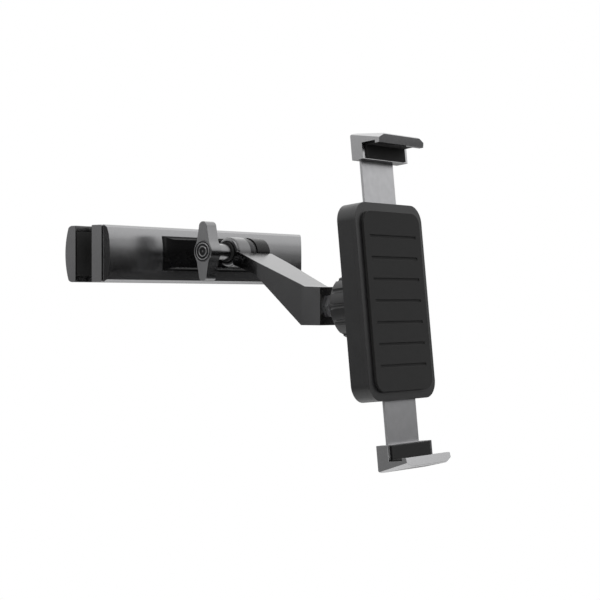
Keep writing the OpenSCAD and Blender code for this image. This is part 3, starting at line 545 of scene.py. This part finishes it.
def coil(node):
    """An extension spring of round wire with an eye at each end, in the place of a CAD node"""
    sizes = bpy.context.scene.holder_sizes
    turns = sizes.spring_turns
    wire = sizes.wire_radius
    to_cradle = (Matrix.Translation(BALL) @ CRADLE).inverted()
    points = [to_cradle @ vertex.co for vertex in NODES[node].data.vertices]
    low = Vector([min(point[i] for point in points) for i in range(3)])
    high = Vector([max(point[i] for point in points) for i in range(3)])
    middle = (low + high) / 2
    radius = (high.x - low.x) / 2
    eye = radius * EYE_SHARE
    foot = low.z + 2 * eye
    length = high.z - low.z - 4 * eye
    deselect()
    bpy.ops.mesh.primitive_circle_add(
        vertices=WIRE_SIDES, radius=wire, location=(radius - wire, 0, 0), rotation=(math.pi / 2, 0, 0)
    )
    piece = bpy.context.active_object
    piece.name = node + "_coil"
    put_on_mesh(piece)
    apply(
        piece, "SCREW", angle=2 * math.pi, screw_offset=length / turns, iterations=turns,
        steps=TURN_STEPS, render_steps=TURN_STEPS, axis="Z", use_merge_vertices=True, use_smooth_shade=True,
    )
    pick(piece)
    bpy.ops.object.mode_set(mode="EDIT")
    bpy.ops.mesh.select_all(action="SELECT")
    bpy.ops.mesh.fill_holes(sides=WIRE_SIDES)
    bpy.ops.mesh.normals_make_consistent(inside=False)
    bpy.ops.object.mode_set(mode="OBJECT")
    eyes = []
    for height in (-eye, length + eye):
        deselect()
        bpy.ops.mesh.primitive_torus_add(
            major_radius=eye - wire, minor_radius=wire, major_segments=EYE_SIDES, minor_segments=WIRE_SIDES,
            location=(0, 0, height), rotation=(math.pi / 2, 0, 0),
        )
        eyes.append(bpy.context.active_object)
        put_on_mesh(eyes[-1])
    pick(piece)
    for each in eyes:
        each.select_set(True)
    bpy.ops.object.join()
    piece.matrix_world = Matrix.Translation(BALL) @ CRADLE @ Matrix.Translation((middle.x, middle.y, foot))
    put_on_mesh(piece)
    smooth(piece, WIRE_SMOOTH_ANGLE)
    dress(piece, node)
    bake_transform(piece)
    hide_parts(node)
    return piece


class HOLDER_OT_bar(bpy.types.Operator):
    """Dress the bar, its post jaws and its liners"""

    bl_idname = "holder.bar"
    bl_label = "Bar"

    def execute(self, context):
        sizes = context.scene.holder_sizes
        for node in ("front_cover", "rear_housing"):
            softened(node, sizes.shell_edge)
        for node in ("left_post_jaw", "right_post_jaw"):
            # The post jaws get the bar's lacquer darkened as painted shade
            dress(softened(node, sizes.shell_edge), node, "shade_painted_grey")
        for node in ("left_post_liner", "right_post_liner"):
            softened(node, sizes.fine_edge)
        return {"FINISHED"}


class HOLDER_OT_lock(bpy.types.Operator):
    """Dress the lock knob, its screw and nut, and the bar's pinion"""

    bl_idname = "holder.lock"
    bl_label = "Bar lock"

    def execute(self, context):
        sizes = context.scene.holder_sizes
        softened("lock_knob", sizes.soft_edge, segments=3)
        for node in ("lock_screw", "lock_nut", "bar_pinion", "bar_screws"):
            dress(NODES[node], node)
        return {"FINISHED"}


class HOLDER_OT_hinge(bpy.types.Operator):
    """Dress the base, the friction hinge and the arm"""

    bl_idname = "holder.hinge"
    bl_label = "Base, hinge and arm"

    def execute(self, context):
        sizes = context.scene.holder_sizes
        for node in ("friction_disc", "knob_washer"):
            softened(node, sizes.fine_edge)
        for node, width, finish in (
            ("hinge_base", sizes.soft_edge, "black_gloss"),
            # The arm gets the bar's lacquer darkened furthest, as painted shade
            ("arm", sizes.soft_edge, "deep_shade_painted_grey"),
            ("hinge_ring", sizes.fine_edge, "blackened_steel"),
        ):
            dress(softened(node, width), node, finish)
        for node in ("hinge_bolt", "base_screws"):
            dress(NODES[node], node)
        return {"FINISHED"}


class HOLDER_OT_knob(bpy.types.Operator):
    """Dress the wing knob, its cap and its insert"""

    bl_idname = "holder.knob"
    bl_label = "Wing knob"

    def execute(self, context):
        sizes = context.scene.holder_sizes
        # The knob's body gets the bar's lacquer darkened as painted shade
        knob = dress(softened("wing_knob", sizes.soft_edge, segments=3), "wing_knob", "shade_painted_grey")
        knob.data.materials.append(finish_for("etched_face"))
        for face in knob.data.polygons:
            face.material_index = int(face.normal.x < OUTER_FACE)
        dress(softened("knob_cap", sizes.fine_edge), "knob_cap", "ringed_cap")
        dress(NODES["knob_insert"], "knob_insert")
        return {"FINISHED"}


class HOLDER_OT_ball_joint(bpy.types.Operator):
    """Dress the ball stud, its seat and socket, and the collar nut"""

    bl_idname = "holder.ball_joint"
    bl_label = "Ball joint"

    def execute(self, context):
        sizes = context.scene.holder_sizes
        softened("collar_nut", sizes.soft_edge)
        softened("ball_socket", sizes.fine_edge)
        for node in ("ball_stud", "ball_seat", "pivot_washer", "pivot_screw"):
            dress(NODES[node], node)
        return {"FINISHED"}


class HOLDER_OT_cradle(bpy.types.Operator):
    """Dress the cradle, its pad, its screws and its springs"""

    bl_idname = "holder.cradle"
    bl_label = "Cradle"

    def execute(self, context):
        sizes = context.scene.holder_sizes
        softened("cradle_rear", sizes.soft_edge)
        softened("cradle_front", sizes.soft_edge)
        softened("grip_pad", sizes.shell_edge)
        for node in ("cradle_screws", "cradle_pinion"):
            dress(NODES[node], node)
        coil("left_spring")
        coil("right_spring")
        return {"FINISHED"}


class HOLDER_OT_jaws(bpy.types.Operator):
    """Dress the gripping jaws, their pads, rails and screws"""

    bl_idname = "holder.jaws"
    bl_label = "Gripping jaws"

    def execute(self, context):
        sizes = context.scene.holder_sizes
        for side in ("upper", "lower"):
            softened(side + "_hook", sizes.soft_edge, segments=3)
            softened(side + "_hook_pad", sizes.fine_edge)
            softened(side + "_rail", sizes.fine_edge)
            dress(NODES[side + "_hook_screws"], side + "_hook_screws")
        return {"FINISHED"}


class HOLDER_OT_stage(bpy.types.Operator):
    """Set the floor, the lights, the world and the camera"""

    bl_idname = "holder.stage"
    bl_label = "Stage"

    def execute(self, context):
        scene = context.scene
        scene.view_settings.view_transform = "Standard"
        self.floor()
        self.world(scene)
        self.lamp("key_light", KEY_PLACE, KEY_SIZE, KEY_POWER)
        camera = bpy.data.cameras.new("photo_camera")
        camera.lens = CAMERA_LENS
        camera.sensor_width = SENSOR
        holder = bpy.data.objects.new("photo_camera", camera)
        holder.location = CAMERA_PLACE
        holder.rotation_euler = (math.pi / 2, 0, CAMERA_AZIMUTH)
        scene.collection.objects.link(holder)
        scene.camera = holder
        return {"FINISHED"}

    def floor(self):
        """A pale floor that fades to the white background but keeps the object's shadow"""
        deselect()
        bpy.ops.mesh.primitive_circle_add(
            vertices=FLOOR_SIDES, radius=FLOOR_RADIUS, fill_type="NGON", location=(0, 0, FLOOR_HEIGHT)
        )
        floor = bpy.context.active_object
        floor.name = "floor"
        put_on_mesh(floor)
        paint = Paint("floor_white")
        ray = paint.node("ShaderNodeLightPath")
        reach = paint.node("ShaderNodeVectorMath", {"operation": "LENGTH"}, {0: paint.place()}, output=1)
        rim = paint.node(
            "ShaderNodeMapRange", None,
            {
                "Value": reach, "From Min": FLOOR_RADIUS * FLOOR_FADE, "From Max": FLOOR_RADIUS,
                "To Min": FLOOR_GLOW, "To Max": 1,
            },
        )
        paint.set(Base_Color=FLOOR_COLOUR, Roughness=0.9)
        below = paint.node("ShaderNodeNewGeometry", output=6)
        glow = paint.node("ShaderNodeEmission", None, {"Color": WHITE, "Strength": 1.0})
        clear = paint.node("ShaderNodeBsdfTransparent")
        mixed = paint.node(
            "ShaderNodeMixShader", None, {0: ray * rim, 1: Maths(paint, paint.shader.outputs[0]), 2: glow}
        )
        seen = paint.node("ShaderNodeMixShader", None, {0: below, 1: mixed, 2: clear})
        paint.feed(paint.tree.nodes["Material Output"].inputs["Surface"], seen)
        floor.data.materials.append(paint.block)

    def world(self, scene):
        """Soft light that grows towards the top, on a background that is white to the camera"""
        paint = Paint("studio", "worlds", "Background")
        scene.world = paint.block
        direction = paint.node("ShaderNodeTexCoord", output=0)
        height = paint.node("ShaderNodeSeparateXYZ", None, {0: direction}, output=2) * 0.5 + 0.5
        depth = paint.node("ShaderNodeSeparateXYZ", None, {0: direction}, output=1)
        behind = paint.node(
            "ShaderNodeMapRange", {"interpolation_type": "SMOOTHSTEP"},
            {"Value": depth, "From Min": ROOM_BEHIND[0], "From Max": ROOM_BEHIND[1]},
        )
        toward = paint.node(
            "ShaderNodeVectorMath", {"operation": "DOT_PRODUCT"}, {0: direction, 1: CAMERA_SIDE}, output=1
        )
        near = paint.node(
            "ShaderNodeMapRange", {"interpolation_type": "SMOOTHSTEP"},
            {"Value": toward, "From Min": CAMERA_SIDE_SPAN[0], "From Max": CAMERA_SIDE_SPAN[1]},
        )
        room = paint.shades(behind, self.ramp(paint, ROOM_FRONT, height), self.ramp(paint, ROOM_BACK, height))
        room = paint.shades(near, room, self.ramp(paint, ROOM_CAMERA, height))
        bright = paint.node("ShaderNodeVectorMath", {"operation": "SCALE"}, {0: room, "Scale": ROOM_PEAK})
        colour = paint.node(
            "ShaderNodeMix", {"data_type": "RGBA"},
            {"Factor": paint.node("ShaderNodeLightPath"), 6: bright, 7: WHITE}, output=2,
        )
        paint.set(Color=colour, Strength=1.0)

    def ramp(self, paint, levels, height):
        """Brightness over elevation, as a share of the room's peak"""
        stops = [
            (0.5 + 0.5 * math.sin(math.radians(elevation)), (level / ROOM_PEAK,) * 3 + (1,))
            for elevation, level in levels
        ]
        return paint.node("ShaderNodeValToRGB", {"stops": stops}, {"Fac": height})

    def lamp(self, name, place, size, power):
        """A square lamp that points at the origin"""
        lamp = bpy.data.lights.new(name, "AREA")
        lamp.size = size
        lamp.energy = power
        holder = bpy.data.objects.new(name, lamp)
        holder.location = place
        holder.rotation_euler = (-Vector(place)).to_track_quat("-Z", "Y").to_euler()
        bpy.context.scene.collection.objects.link(holder)


class HOLDER_PT_sidebar(bpy.types.Panel):
    """Lists the holder's groups of pieces"""

    bl_idname = "HOLDER_PT_sidebar"
    bl_label = "Tablet holder"
    bl_space_type = "VIEW_3D"
    bl_region_type = "UI"
    bl_category = "Holder"

    def draw(self, context):
        for group in (context.scene.holder_sizes, context.scene.holder_colours):
            for name in group.__annotations__:
                self.layout.prop(group, name)
        for operator in OPERATORS:
            self.layout.operator(operator.bl_idname)


OPERATORS = (
    HOLDER_OT_bar,
    HOLDER_OT_lock,
    HOLDER_OT_hinge,
    HOLDER_OT_knob,
    HOLDER_OT_ball_joint,
    HOLDER_OT_cradle,
    HOLDER_OT_jaws,
    HOLDER_OT_stage,
)
CLASSES = (HolderSizes, HolderColours, *OPERATORS, HOLDER_PT_sidebar)


def register():
    for each in CLASSES:
        bpy.utils.register_class(each)
    bpy.types.Scene.holder_sizes = bpy.props.PointerProperty(type=HolderSizes)
    bpy.types.Scene.holder_colours = bpy.props.PointerProperty(type=HolderColours)


def unregister():
    del bpy.types.Scene.holder_colours
    del bpy.types.Scene.holder_sizes
    for each in reversed(CLASSES):
        bpy.utils.unregister_class(each)


def main():
    register()
    bpy.ops.holder.bar()
    bpy.ops.holder.lock()
    bpy.ops.holder.hinge()
    bpy.ops.holder.knob()
    bpy.ops.holder.ball_joint()
    bpy.ops.holder.cradle()
    bpy.ops.holder.jaws()
    bpy.ops.holder.stage()


if __name__ == "__main__":
    main()
